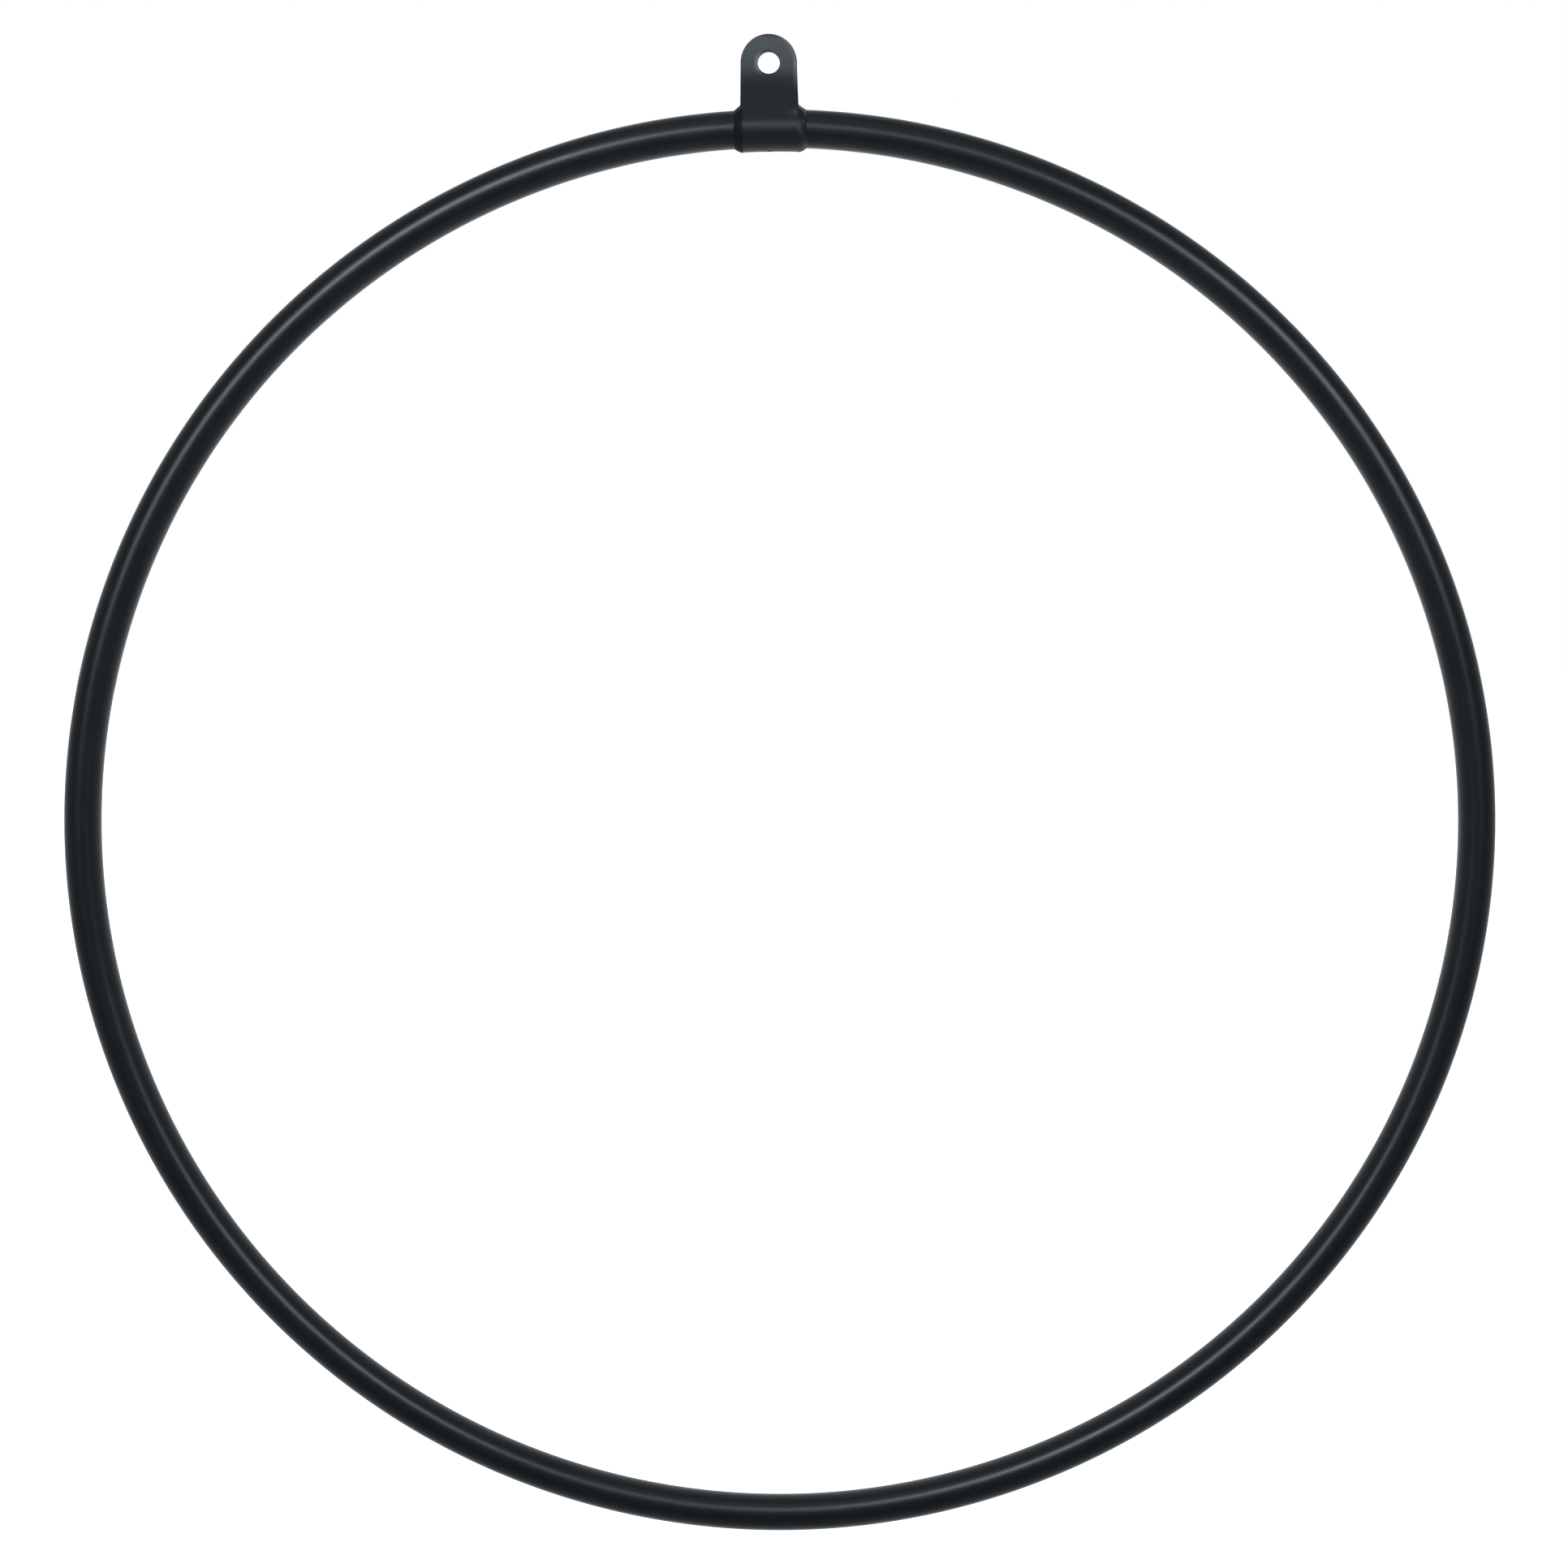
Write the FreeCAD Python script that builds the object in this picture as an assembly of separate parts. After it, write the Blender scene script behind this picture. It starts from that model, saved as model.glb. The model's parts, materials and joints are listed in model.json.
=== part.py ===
"""Aerial hoop: a rolled steel tube with a hanging tab made from one strap folded round it.

Frame, in millimetres: the origin is the centre of the hang hole and +Z is up. The hoop lies in
the XZ plane, below the origin, and the hang hole runs along Y.
"""

import FreeCAD, Part
import math
import os

from FreeCAD import Vector

# Driving dimensions ------------------------------------------------------------------------

HOOP_OUTER_DIAMETER = 1000.0
TUBE_RADIUS = 12.7
TUBE_WALL = 2.5
JOINT_GAP = 1.6  # between the tube's two ends, filled by the butt weld

SLEEVE_LENGTH = 90.0  # along the tube's centre line
SLEEVE_WALL = 2.0
SLEEVE_CLEARANCE = 0.1  # radial, inside the tube

STRAP_THICKNESS = 2.5
STRAP_HALF_WIDTH = 19.8  # where it goes round the tube
TAB_RADIUS = 19.1  # of the tab's round top, about the hang hole
LEG_SLOPE = math.radians(22.0)  # how far the legs lean in as they leave the tube
BEND_RADIUS = 46.0  # outer face of each leg, where it turns upright
LEG_GAP = 0.2  # between the two legs once they are upright
RIM_ROUND = 0.7  # radius on the outer edges of the legs
HANG_HOLE_RADIUS = 7.5
HANG_HOLE_HEIGHT = 43.4  # above the tube's centre line
HOLE_ROUND = 0.5  # radius on the hang hole's edges
VENT_RADIUS = 2.25

SEAM_DEPTH = 1.2  # bevel on the legs' inner edges, filled by the seam weld
SIDE_SEAM_LENGTH = 9.0  # how far that bevel runs on down each side of the tab
GAP_WELD_DEPTH = 2.8  # how far the side welds reach in between the legs
BEAD_REACH = 5.0  # along the tube, from the strap's edge to the bead's toe
BEAD_TOE = 0.05  # the bead's height at its toe
SADDLE_HEIGHT = 4.2  # of the bead where it crosses the top of the tube

# Derived dimensions ------------------------------------------------------------------------

RING_RADIUS = HOOP_OUTER_DIAMETER / 2 - TUBE_RADIUS
RING_CENTRE = Vector(0, 0, -HANG_HOLE_HEIGHT - RING_RADIUS)
TUBE_BORE_RADIUS = TUBE_RADIUS - TUBE_WALL
SLEEVE_RADIUS = TUBE_BORE_RADIUS - SLEEVE_CLEARANCE
WRAP_RADIUS = TUBE_RADIUS + STRAP_THICKNESS
LEG_INNER_Y = LEG_GAP / 2
LEG_OUTER_Y = LEG_INNER_Y + STRAP_THICKNESS
WRAP_TOP_Z = -HANG_HOLE_HEIGHT + WRAP_RADIUS * math.sin(LEG_SLOPE)

X_AXIS = Vector(1, 0, 0)
Y_AXIS = Vector(0, 1, 0)
Z_AXIS = Vector(0, 0, 1)
MARGIN = 30.0  # how far a cutting shape runs past what it cuts
TOUCH = 0.02  # closer than this counts as lying on a face


# Small helpers -----------------------------------------------------------------------------


def above_tube(y, height):
    """A point in the YZ plane, with its height measured from the tube's centre line."""
    return Vector(0, y, height - HANG_HOLE_HEIGHT)


def line(start, end):
    return Part.LineSegment(start, end).toShape()


def arc(start, middle, end):
    return Part.Arc(start, middle, end).toShape()


def face(edges):
    return Part.Face(Part.Wire(Part.__sortEdges__(edges)))


def polygon(points):
    return Part.Face(Part.makePolygon(points + points[:1]))


def disc(radius):
    """A round face in the YZ plane, on the tube's centre line."""
    return Part.Face(Part.Wire(Part.makeCircle(radius, above_tube(0, 0), X_AXIS)))


def around_ring(section, start, end):
    """Sweeps a section in the YZ plane round the ring, from start to end degrees past the top."""
    turned = section.copy()
    turned.rotate(RING_CENTRE, Y_AXIS, start)
    return turned.revolve(RING_CENTRE, Y_AXIS, end - start)


def under_strap(section):
    """Sweeps a section along the stretch of the ring where the strap is, and a little further."""
    half = degrees_along_tube(MARGIN)
    return around_ring(section, -half, half)


def tube_section(outer, inner):
    return disc(outer).cut(disc(inner)).Faces[0]


def degrees_along_tube(length):
    return math.degrees(length / RING_RADIUS)


def vent():
    """Cutter for the vent hole, which runs up into the tube through the bottom of the strap."""
    low = above_tube(0, -WRAP_RADIUS - 1)
    return Part.makeCylinder(VENT_RADIUS, WRAP_RADIUS, low, Z_AXIS)


# The faces of the strap's legs -------------------------------------------------------------


def leg_corners(offset):
    """The front leg's face at an offset outside the tube, as (y, height) points.

    They are where the leg leaves the tube, and the low end, middle and high end of its bend.
    """
    radius = TUBE_RADIUS + offset
    bend = BEND_RADIUS + STRAP_THICKNESS - offset
    bend_y = -(LEG_OUTER_Y + BEND_RADIUS)
    reach = WRAP_RADIUS + BEND_RADIUS
    bend_height = (reach + bend_y * math.cos(LEG_SLOPE)) / math.sin(LEG_SLOPE)
    corners = [(-radius * math.cos(LEG_SLOPE), radius * math.sin(LEG_SLOPE))]
    for angle in (LEG_SLOPE, LEG_SLOPE / 2, 0):
        y = bend_y + bend * math.cos(angle)
        corners.append((y, bend_height - bend * math.sin(angle)))
    return corners


def leg_edges(offset, top_height, mirror):
    """One leg's face from the tube up to top_height: mirror is 1 in front and -1 behind."""
    leaves, low, middle, high = [above_tube(mirror * y, h) for y, h in leg_corners(offset)]
    top = above_tube(high.y, top_height)
    return [line(leaves, low), arc(low, middle, high), line(high, top)]


def leg_face_y(offset, height):
    """How far from the middle plane a leg's face is, at a height above where it leaves the tube."""
    leaves, low, _, high = leg_corners(offset)
    if height >= high[1]:
        return -high[0]
    if height <= low[1]:
        return -leaves[0] - (height - leaves[1]) * math.tan(LEG_SLOPE)
    bend = BEND_RADIUS + STRAP_THICKNESS - offset
    return LEG_OUTER_Y + BEND_RADIUS - math.sqrt(bend**2 - (high[1] - height) ** 2)


# Tube and joint ----------------------------------------------------------------------------


def hoop_tube():
    """The ring itself: one tube whose two ends meet under the strap."""
    half_gap = degrees_along_tube(JOINT_GAP / 2)
    section = tube_section(TUBE_RADIUS, TUBE_BORE_RADIUS)
    return around_ring(section, half_gap, 360 - half_gap).cut(vent())


def butt_weld():
    """Fills the gap between the tube's ends, from the sleeve out, and is ground flush."""
    half_gap = degrees_along_tube(JOINT_GAP / 2)
    section = tube_section(TUBE_RADIUS, SLEEVE_RADIUS)
    return around_ring(section, -half_gap, half_gap).cut(vent())


def joint_sleeve():
    """Lines the tube's ends up from inside."""
    half = degrees_along_tube(SLEEVE_LENGTH / 2)
    section = tube_section(SLEEVE_RADIUS, SLEEVE_RADIUS - SLEEVE_WALL)
    return around_ring(section, -half, half).cut(vent())


# Strap -------------------------------------------------------------------------------------


def strap_section():
    """A U round the tube, whose legs lean in, bend upright and run on past the tab's top."""
    top_height = HANG_HOLE_HEIGHT + MARGIN
    edges = []
    for offset in (0, STRAP_THICKNESS):
        radius = TUBE_RADIUS + offset
        y, height = leg_corners(offset)[0]
        edges += leg_edges(offset, top_height, 1)
        edges += leg_edges(offset, top_height, -1)
        edges.append(arc(above_tube(y, height), above_tube(0, -radius), above_tube(-y, height)))
    for side in (-1, 1):
        inner = above_tube(side * LEG_INNER_Y, top_height)
        outer = above_tube(side * LEG_OUTER_Y, top_height)
        edges.append(line(inner, outer))
    return face(edges)


def strap_outline():
    """Cutter with the strap's front outline: round about the hang hole, then down past the tube."""
    right = [
        Vector(TAB_RADIUS, 0, 0),
        Vector(STRAP_HALF_WIDTH, 0, WRAP_TOP_Z),
        Vector(STRAP_HALF_WIDTH, 0, WRAP_TOP_Z - MARGIN),
    ]
    left = [Vector(-p.x, 0, p.z) for p in reversed(right)]
    run = right + left
    edges = [line(a, b) for a, b in zip(run, run[1:])]
    edges.append(arc(left[-1], Vector(0, 0, TAB_RADIUS), right[0]))
    outline = face(edges)
    outline.translate(Y_AXIS * -MARGIN)
    return outline.extrude(Y_AXIS * 2 * MARGIN)


def outer_edges(strap, on_outline):
    """Edges of the legs' outer faces whose middle, seen from the front, satisfies on_outline."""
    found = []
    for edge in strap.Edges:
        middle = edge.valueAt((edge.FirstParameter + edge.LastParameter) / 2)
        if middle.z < WRAP_TOP_Z + TOUCH:
            continue
        outer = leg_face_y(STRAP_THICKNESS, middle.z + HANG_HOLE_HEIGHT)
        if abs(abs(middle.y) - outer) < TOUCH and on_outline(middle.x, middle.z):
            found.append(edge)
    return found


def on_rim(x, z):
    return math.hypot(x, max(z, 0)) > TAB_RADIUS - TOUCH


def on_hang_hole(x, z):
    return abs(math.hypot(x, z) - HANG_HOLE_RADIUS) < TOUCH


def hanger_strap():
    """The strap, folded round the tube, with its hang hole, its vent hole and its weld bevels."""
    strap = under_strap(strap_section()).common(strap_outline())
    hole = Part.makeCylinder(HANG_HOLE_RADIUS, 2 * MARGIN, Y_AXIS * -MARGIN, Y_AXIS)
    strap = strap.cut([hole, vent()])
    strap = strap.cut([tab_seam_weld(), side_seam(-1), side_seam(1)])
    strap = strap.makeFillet(RIM_ROUND, outer_edges(strap, on_rim))
    return strap.makeFillet(HOLE_ROUND, outer_edges(strap, on_hang_hole))


# Welds -------------------------------------------------------------------------------------


def seam_section(direction):
    """The seam weld's section: wide at the tab's rim, as narrow as the legs' gap at its root."""
    rim = direction * TAB_RADIUS
    root = direction * (TAB_RADIUS - SEAM_DEPTH)
    wide = Y_AXIS * (LEG_INNER_Y + SEAM_DEPTH)
    narrow = Y_AXIS * LEG_INNER_Y
    return polygon([rim - wide, rim + wide, root + narrow, root - narrow])


def tab_seam_weld():
    """Joins the two legs round the top of the tab, ground flush with the rim."""
    return seam_section(X_AXIS).revolve(Vector(0, 0, 0), Y_AXIS, -180)


def side_seam(side):
    """The same bevel, carried on down one side of the tab along its outline."""
    spread = (STRAP_HALF_WIDTH - TAB_RADIUS) / -WRAP_TOP_Z
    down = Vector(side * spread * SIDE_SEAM_LENGTH, 0, -SIDE_SEAM_LENGTH)
    return seam_section(X_AXIS * side).extrude(down)


def gap_section():
    """The space between the legs, from the tube up past the tab's top."""
    top_height = HANG_HOLE_HEIGHT + MARGIN
    y, height = leg_corners(0)[0]
    edges = leg_edges(0, top_height, 1) + leg_edges(0, top_height, -1)
    edges.append(line(above_tube(-LEG_INNER_Y, top_height), above_tube(LEG_INNER_Y, top_height)))
    edges.append(arc(above_tube(y, height), above_tube(0, TUBE_RADIUS), above_tube(-y, height)))
    return face(edges)


def gap_weld(side):
    """Closes the opening between the legs on one side, up to the hang hole's level."""
    inner = side * (STRAP_HALF_WIDTH - GAP_WELD_DEPTH)
    corner = Vector(min(inner, inner + side * MARGIN), -MARGIN, -2 * HANG_HOLE_HEIGHT)
    slab = Part.makeBox(MARGIN, 2 * MARGIN, 2 * HANG_HOLE_HEIGHT, corner)
    fill = under_strap(gap_section()).common(strap_outline()).common(slab)
    return fill.fuse(side_seam(side)).removeSplitter()


def bead_outline(front, shoulder, crown, bottom, side_edge):
    """A closed outline round the tube at the top of the ring, the same in front and behind.

    front and shoulder are the (y, height) ends of its front side, crown is its greatest height
    and bottom its greatest depth. side_edge makes the edge between two such points.
    """
    back = (-front[0], front[1])
    back_shoulder = (-shoulder[0], shoulder[1])
    edges = [
        side_edge(front, shoulder),
        arc(above_tube(*shoulder), above_tube(0, crown), above_tube(*back_shoulder)),
        side_edge(back_shoulder, back),
        arc(above_tube(*back), above_tube(0, -bottom), above_tube(*front)),
    ]
    return Part.Wire(edges)


def bead_root():
    """The bead's outline at the strap's edge: the strap's own outline, closed over the tube."""
    leaves = leg_corners(STRAP_THICKNESS)[0]
    shoulder = (-leg_face_y(STRAP_THICKNESS, TUBE_RADIUS), TUBE_RADIUS)

    def straight(start, end):
        return line(above_tube(*start), above_tube(*end))

    return bead_outline(leaves, shoulder, TUBE_RADIUS + SADDLE_HEIGHT, WRAP_RADIUS, straight)


def bead_toe():
    """The bead's outline where it ends on the tube: a circle a little larger than the tube."""
    radius = TUBE_RADIUS + BEAD_TOE

    def on_circle(y, height):
        scale = radius / math.hypot(y, height)
        return (y * scale, height * scale)

    def round_edge(start, end):
        middle = on_circle((start[0] + end[0]) / 2, (start[1] + end[1]) / 2)
        return arc(above_tube(*start), above_tube(*middle), above_tube(*end))

    front = on_circle(*leg_corners(STRAP_THICKNESS)[0])
    shoulder = on_circle(-leg_face_y(STRAP_THICKNESS, TUBE_RADIUS), TUBE_RADIUS)
    return bead_outline(front, shoulder, radius, radius, round_edge)


def strap_weld(side):
    """Fillet weld all round the tube at one edge of the strap.

    At the strap's edge it is as high as the strap is thick, and it rises over the top of the
    tube, where it meets the weld between the legs. It runs out to nothing along the tube.
    """
    root = bead_root()
    drop = RING_RADIUS - math.sqrt(RING_RADIUS**2 - STRAP_HALF_WIDTH**2)
    root.translate(Vector(side * STRAP_HALF_WIDTH, 0, -drop))
    toe = bead_toe()
    toe.rotate(RING_CENTRE, Y_AXIS, side * degrees_along_tube(STRAP_HALF_WIDTH + BEAD_REACH))
    return Part.makeLoft([root, toe], True, True).cut(under_strap(disc(TUBE_RADIUS)))


# Output ------------------------------------------------------------------------------------

PIECES = {
    "hoop_tube": hoop_tube(),
    "joint_sleeve": joint_sleeve(),
    "butt_weld": butt_weld(),
    "hanger_strap": hanger_strap(),
    "strap_weld_left": strap_weld(-1),
    "strap_weld_right": strap_weld(1),
    "gap_weld_left": gap_weld(-1),
    "gap_weld_right": gap_weld(1),
    "tab_seam_weld": tab_seam_weld(),
}

os.makedirs("parts", exist_ok=True)
for node, shape in PIECES.items():
    shape.exportStep(f"parts/{node}.step")
    print(node, len(shape.Solids), "solid", shape.isValid(), round(shape.Volume, 1), "mm3")
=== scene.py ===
"""Looks of the aerial hoop: a coated steel ring with a strap folded and welded round its top.

Everything is in metres, in the CAD model's frame: the hang hole's centre is the origin, +Z is
up, the hoop lies in the XZ plane and the front is towards -Y.
"""

import json
import math

import bpy
import numpy as np
from mathutils import Matrix, Vector


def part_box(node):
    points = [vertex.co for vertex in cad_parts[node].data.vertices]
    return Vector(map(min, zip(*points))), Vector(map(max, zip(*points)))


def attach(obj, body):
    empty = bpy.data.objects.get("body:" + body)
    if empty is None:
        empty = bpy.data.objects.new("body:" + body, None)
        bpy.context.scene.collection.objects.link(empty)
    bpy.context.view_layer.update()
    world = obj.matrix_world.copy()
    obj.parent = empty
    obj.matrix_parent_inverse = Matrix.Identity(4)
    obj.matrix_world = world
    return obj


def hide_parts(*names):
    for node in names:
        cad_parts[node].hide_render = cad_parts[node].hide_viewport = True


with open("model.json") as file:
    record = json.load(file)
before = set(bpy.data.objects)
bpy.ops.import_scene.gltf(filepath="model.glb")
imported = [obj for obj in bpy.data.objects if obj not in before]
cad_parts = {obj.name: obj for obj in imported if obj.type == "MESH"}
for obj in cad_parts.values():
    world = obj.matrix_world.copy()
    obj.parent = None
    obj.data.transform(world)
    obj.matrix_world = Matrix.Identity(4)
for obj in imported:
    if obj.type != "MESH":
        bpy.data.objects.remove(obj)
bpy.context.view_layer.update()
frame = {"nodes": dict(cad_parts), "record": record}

# Sizes from the frame ----------------------------------------------------------------------

TENTH_MM = 4  # decimals of a size in metres


def tidy(value):
    """A size read from the frame, to a tenth of a millimetre."""
    return round(float(value), TENTH_MM)


TUBE_LOW, TUBE_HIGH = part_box("hoop_tube")
STRAP_LOW, STRAP_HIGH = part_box("hanger_strap")
TUBE_RADIUS = tidy(TUBE_HIGH.y)
RING_RADIUS = tidy(TUBE_HIGH.x) - TUBE_RADIUS
RING_Z = tidy(TUBE_LOW.z) + RING_RADIUS + TUBE_RADIUS
TUBE_TOP_Z = RING_Z + RING_RADIUS  # the tube's centre line under the tab
WRAP_RADIUS = tidy(STRAP_HIGH.y)
THICKNESS = WRAP_RADIUS - TUBE_RADIUS
STRAP_HALF_WIDTH = tidy(STRAP_HIGH.x)
TAB_RADIUS = tidy(STRAP_HIGH.z)
HOLE_RADIUS = frame["record"]["mounts"][0]["dims"]["r_mm"] / 1000
SADDLE_Z = tidy(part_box("strap_weld_left")[1].z)
BEAD_REACH = tidy(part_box("strap_weld_right")[1].x) - STRAP_HALF_WIDTH

# Sizes that repeat the CAD design's ---------------------------------------------------------

TUBE_WALL = 0.0025
JOINT_HALF_GAP = 0.0008
VENT_RADIUS = 0.00225
LEG_SLOPE = math.radians(22)
BEND_RADIUS = 0.046
LEG_HALF_GAP = 0.0001
BEVEL = 0.0009  # on the legs' inner edges, where the seam weld lies
BEVEL_FADE = (0.032, 0.037)  # heights above the tube's centre between which the bevel begins
GAP_WELD_DEPTH = 0.0028

HOLE_HEIGHT = -TUBE_TOP_Z
WRAP_ANGLE = math.pi / 2 + LEG_SLOPE
LEG_OUTER_Y = LEG_HALF_GAP + THICKNESS
BEND_Y = -(LEG_OUTER_Y + BEND_RADIUS)
BEND_HEIGHT = (WRAP_RADIUS + BEND_RADIUS + BEND_Y * math.cos(LEG_SLOPE)) / math.sin(LEG_SLOPE)
BEND_OUTSIDE = BEND_RADIUS + THICKNESS

# Lengths along the strap's middle surface, from the bottom of the fold
WRAP_LENGTH = (TUBE_RADIUS + THICKNESS / 2) * WRAP_ANGLE
LEG_LENGTH = BEND_Y * math.sin(LEG_SLOPE) + BEND_HEIGHT * math.cos(LEG_SLOPE)
BEND_LENGTH = (BEND_RADIUS + THICKNESS / 2) * LEG_SLOPE
UPRIGHT_FROM = WRAP_LENGTH + LEG_LENGTH + BEND_LENGTH
HOLE_ALONG = UPRIGHT_FROM + HOLE_HEIGHT - BEND_HEIGHT


# Small helpers -----------------------------------------------------------------------------


def smoothstep(value, low, high):
    t = np.clip((value - low) / (high - low), 0, 1)
    return t * t * (3 - 2 * t)


def round_off(distance, width, depth):
    """How far an edge's rounding lowers a face, at a distance in from the edge."""
    t = np.clip(1 - distance / width, 0, 1)
    return depth * (1 - np.sqrt(1 - t * t))


def waves(angle, seed, count, strength):
    """A smooth, repeatable unevenness round a closed path, about as strong as strength."""
    rng = np.random.default_rng(seed)
    total = np.zeros_like(angle)
    for number in range(1, count + 1):
        total += rng.normal() * np.cos(number * angle + rng.uniform(0, 2 * math.pi))
    return strength * total / math.sqrt(count)


def ring_z(x, height):
    """Height in the frame of a point above the tube's centre line, on the ring's curve at x."""
    return RING_Z + np.sqrt((RING_RADIUS + height) ** 2 - x * x)


SHARP = math.radians(60)  # faces that meet more steeply than this show an edge


def piece(name, verts, faces, node, material):
    """Makes a mesh piece that stands for a CAD node."""
    mesh = bpy.data.meshes.new(name)
    mesh.from_pydata([tuple(v) for v in verts], [], [tuple(f) for f in faces])
    mesh.validate()
    mesh.shade_smooth()
    mesh.set_sharp_from_angle(angle=SHARP)
    obj = bpy.data.objects.new(name, mesh)
    bpy.context.scene.collection.objects.link(obj)
    obj.data.materials.append(material)
    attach(obj, "root")
    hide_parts(node)


def grid_faces(rows, columns, closed_rows=False, closed_columns=False, first=0):
    """Quads of a grid whose vertices run along its rows, each row columns long."""
    faces = []
    for i in range(rows if closed_rows else rows - 1):
        for j in range(columns if closed_columns else columns - 1):
            a = first + i * columns + j
            b = first + i * columns + (j + 1) % columns
            c = first + (i + 1) % rows * columns + (j + 1) % columns
            d = first + (i + 1) % rows * columns + j
            faces.append((a, b, c, d))
    return faces


# Tube --------------------------------------------------------------------------------------

TUBE_STEPS = 480
SECTION_STEPS = 96
SECTION_CROWDING = 0.35  # how much closer the section's vertices are at the vent


def tube_angles():
    """Angles round the tube's section, measured from +Y upwards, closer together at the bottom."""
    t = np.arange(SECTION_STEPS) * 2 * math.pi / SECTION_STEPS
    return t - math.pi / 2 - SECTION_CROWDING * np.sin(t)


def tube_end(angles, radius):
    """How far from the joint's middle the tube begins: further out where the vent is drilled."""
    y = radius * np.cos(angles)
    vent = np.sqrt(np.clip(VENT_RADIUS**2 - y**2, 0, None))
    return np.where(np.sin(angles) < 0, np.maximum(vent, JOINT_HALF_GAP), JOINT_HALF_GAP)


def tube_shell(radius):
    """Rings of vertices along the tube at one radius, from one end of the joint to the other."""
    angles = tube_angles()
    begin = tube_end(angles, radius) / RING_RADIUS
    rings = []
    for step in np.linspace(0, 1, TUBE_STEPS + 1):
        turn = begin + step * (2 * math.pi - 2 * begin)
        out = RING_RADIUS + radius * np.sin(angles)
        ring = [out * np.sin(turn), radius * np.cos(angles), RING_Z + out * np.cos(turn)]
        rings.append(np.stack(ring, 1))
    return np.concatenate(rings)


def make_tube(material):
    """The ring's tube with its bore, open at the joint and drilled for the vent."""
    outer = tube_shell(TUBE_RADIUS)
    inner = tube_shell(TUBE_RADIUS - TUBE_WALL)
    rows = TUBE_STEPS + 1
    faces = grid_faces(rows, SECTION_STEPS, closed_columns=True)
    inside = grid_faces(rows, SECTION_STEPS, closed_columns=True, first=len(outer))
    faces += [face[::-1] for face in inside]
    last = (rows - 1) * SECTION_STEPS
    for j in range(SECTION_STEPS):
        k = (j + 1) % SECTION_STEPS
        faces.append((k, j, len(outer) + j, len(outer) + k))
        faces.append((last + j, last + k, len(outer) + last + k, len(outer) + last + j))
    verts = np.concatenate([outer, inner])
    piece("hoop_ring", verts, faces, "hoop_tube", material)


# Strap: a flat pattern that is folded round the tube ------------------------------------------

# Distances in mm from an edge at which the pattern has vertices
EDGE_STEPS = (0, 0.10, 0.25, 0.45, 0.72, 1.06, 1.5, 2.05, 2.75, 3.6, 4.7, 6.1, 7.8, 9.8, 12, 14.2, 16.5)
HOLE_STEPS = (0, 0.08, 0.2, 0.36, 0.58, 0.85, 1.2, 1.7, 2.5, 3.6)
VENT_STEPS = HOLE_STEPS[:6]
STEPS_APART = 0.06  # share of a loop kept free between the outline's steps and the hole's
ROW_LENGTH = 0.0006
SIDE_STEPS = 24
ROUND_STEPS = 72
FOLLOWS_RING = (0.008, 0.026)  # heights between which the strap stops bending along the ring
BECOMES_TAB = (0.016, 0.030)  # heights between which its edges' rounding becomes the rim's
RIM_SIDES = (-0.012, 0.004)  # places across between which the left rim becomes the right one
RIM_WIDTH = 0.0034  # of the rounding on the tab's rim, on the right
LEFT_RIM_WIDTH = 0.0008  # the left rim is sharper
RIM_DEPTH = 0.0010
LEFT_RIM_DEPTH = 0.0005
LOW_RIM_WIDTH = 0.0009  # of the rounding on the strap's edges lower down
LOW_RIM_DEPTH = 0.0006
HOLE_ROUND_WIDTH = 0.0010
HOLE_ROUND_DEPTH = 0.0007
VENT_ROUND = 0.0004
BULGE = 0.0014  # how far the front leg is drawn out near its right edge
BULGE_AT = (0.0195, 0.0125)  # right of the middle and above the tube's centre
BULGE_SIZE = (0.0066, 0.0050)


def half_width(height):
    """The strap's half width at a height above the tube's centre line."""
    foot = WRAP_RADIUS * math.sin(LEG_SLOPE)
    share = np.clip((height - foot) / (HOLE_HEIGHT - foot), 0, 1)
    return STRAP_HALF_WIDTH + share * (TAB_RADIUS - STRAP_HALF_WIDTH)


def fold(along, lift):
    """Where a point of the flat strap goes in the YZ plane: (y, height above the tube's centre).

    along is its length from the bottom of the fold, positive on the front leg, and lift is its
    distance from the strap's inner face.
    """
    s = np.abs(along)
    turn = np.clip(s, 0, WRAP_LENGTH) / (TUBE_RADIUS + THICKNESS / 2)
    radius = TUBE_RADIUS + lift
    y = -radius * np.sin(turn)
    height = -radius * np.cos(turn)
    straight = np.clip(s - WRAP_LENGTH, 0, LEG_LENGTH)
    y += straight * math.sin(LEG_SLOPE)
    height += straight * math.cos(LEG_SLOPE)
    bend = BEND_OUTSIDE - lift
    lean = LEG_SLOPE - np.clip(s - WRAP_LENGTH - LEG_LENGTH, 0, BEND_LENGTH) / (
        BEND_RADIUS + THICKNESS / 2
    )
    in_bend = s > WRAP_LENGTH + LEG_LENGTH
    y = np.where(in_bend, BEND_Y + bend * np.cos(lean), y)
    height = np.where(in_bend, BEND_HEIGHT - bend * np.sin(lean), height)
    height += np.clip(s - UPRIGHT_FROM, 0, None)
    return np.where(along < 0, -y, y), height


def pattern_distances(x, along):
    """Distances in from the strap's outline and out from its two kinds of hole, and heights."""
    s = np.abs(along)
    _, height = fold(s, np.full_like(s, THICKNESS / 2))
    past = s - HOLE_ALONG
    outline = np.where(past > 0, TAB_RADIUS - np.hypot(x, past), half_width(height) - np.abs(x))
    return outline, np.hypot(x, past) - HOLE_RADIUS, np.hypot(x, s) - VENT_RADIUS, height


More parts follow.
